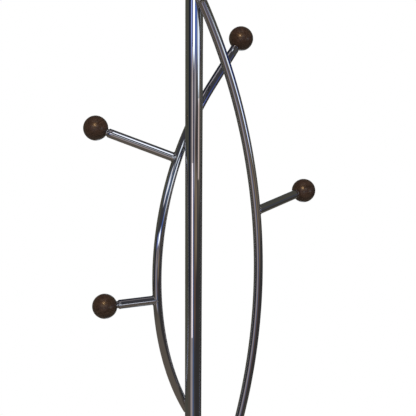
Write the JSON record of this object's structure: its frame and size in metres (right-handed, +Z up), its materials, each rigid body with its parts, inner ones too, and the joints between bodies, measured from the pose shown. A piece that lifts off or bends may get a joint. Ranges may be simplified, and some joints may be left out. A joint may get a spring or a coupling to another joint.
{
  "type": "standing coat rack",
  "caption": "Free-standing chrome coat rack: round weighted base, upright pole, bent tubes welded to it, and short arms that end in dark wooden balls.",
  "frame": {"origin": "on the pole's axis at floor level, in the middle of the floor pad's underside", "axes": "+Z up along the pole, +X towards the side where the large bow stands out, +Y to the back"},
  "size_m": [0.4874, 0.3848, 1.7836],
  "materials": {
    "chrome": "bright chrome plate on drawn steel tube and spun sheet",
    "chrome_neck": "bright chrome plate on turned steel",
    "chrome_weld": "dressed weld beads, chrome plated with the tubes",
    "dark_wood": "turned hardwood, dark walnut stain under satin lacquer",
    "cast_iron": "as cast, painted grey",
    "floor_pad_rubber": "moulded black rubber sheet",
    "plain_steel": "turned steel, unplated",
    "zinc_steel": "zinc-plated fasteners",
    "brass": "turned brass"
  },
  "bodies": {
    "root": {"floor_pad": "floor_pad_rubber", "base_weight": "cast_iron", "base_cover": "chrome", "base_collar": "chrome", "collar_screw": "zinc_steel", "base_washer": "zinc_steel", "base_bolt": "zinc_steel", "pole_foot_plug": "plain_steel", "lower_pole": "chrome", "seam_plug_lower": "plain_steel", "seam_stud": "zinc_steel", "seam_plug_upper": "plain_steel", "upper_pole": "chrome", "top_cap": "chrome", "large_bow": "chrome", "small_bow": "chrome", "large_bow_plug": "chrome", "small_bow_plug": "chrome", "bow_welds": "chrome_weld", "arm_welds": "chrome_weld", "hook_arm_1": "chrome", "hook_arm_2": "chrome", "hook_arm_3": "chrome", "hook_arm_4": "chrome", "neck_1": "chrome_neck", "neck_2": "chrome_neck", "neck_3": "chrome_neck", "neck_4": "chrome_neck", "neck_5": "chrome_neck", "neck_6": "chrome_neck", "ball_1": "dark_wood", "ball_2": "dark_wood", "ball_3": "dark_wood", "ball_4": "dark_wood", "ball_5": "dark_wood", "ball_6": "dark_wood", "ball_studs": "zinc_steel", "ball_inserts": "brass"}
  },
  "joints": []
}
